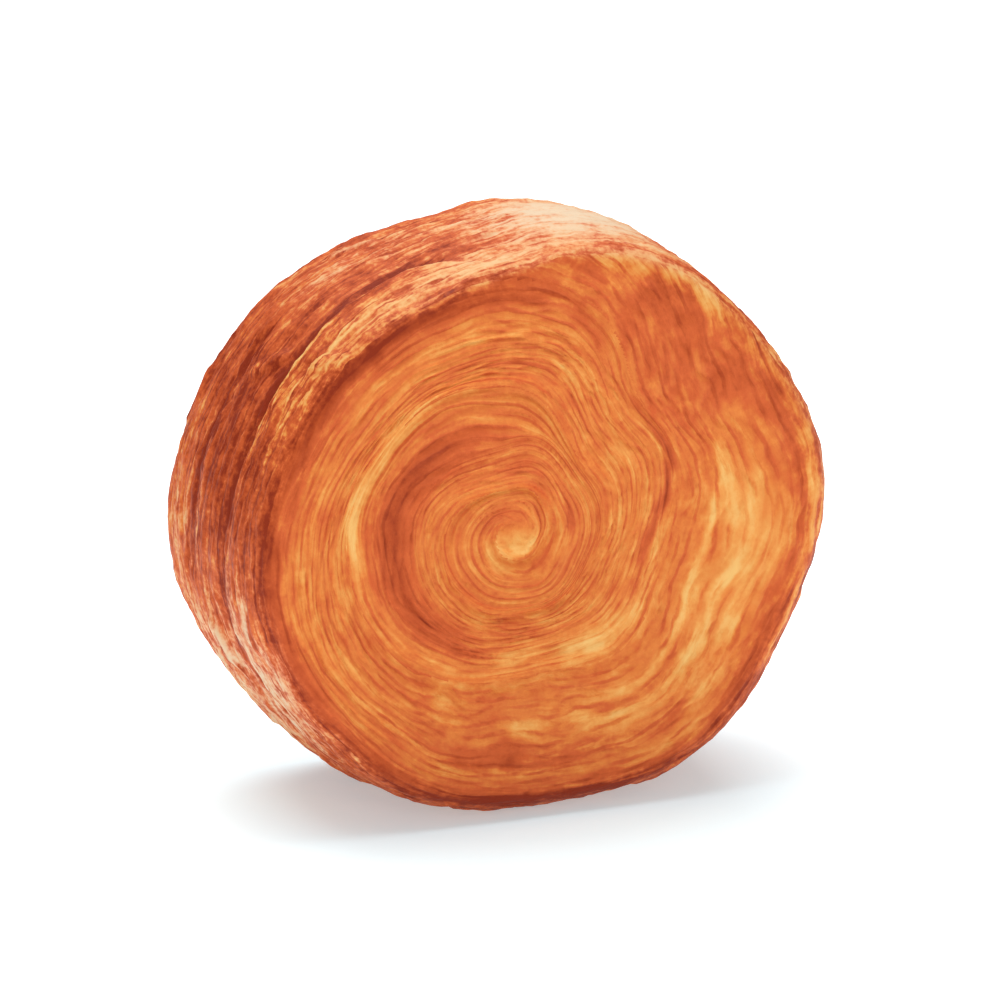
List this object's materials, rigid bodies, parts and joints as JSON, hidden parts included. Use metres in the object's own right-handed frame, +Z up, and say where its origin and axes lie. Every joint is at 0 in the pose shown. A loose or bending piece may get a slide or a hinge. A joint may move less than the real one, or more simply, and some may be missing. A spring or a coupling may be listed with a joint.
{
  "type": "croissant roll",
  "caption": "Round pastry of laminated croissant dough, wound in a spiral and baked in a ring to a browned, flaky crust; it stands on its rim.",
  "frame": {"origin": "on the floor, at the flat spot on the rim that the roll stands on, below the middle of the disc", "axes": "+Z up, +X across the disc to the viewer's right, +Y through the thickness from the wound front face to the back face"},
  "size_m": [0.1112, 0.0482, 0.1019],
  "materials": {
    "crust": "browned, egg-washed pastry crust: satin, golden to red-brown, streaked along the dough layers"
  },
  "bodies": {
    "root": {"croissant_roll": "crust"}
  },
  "joints": []
}
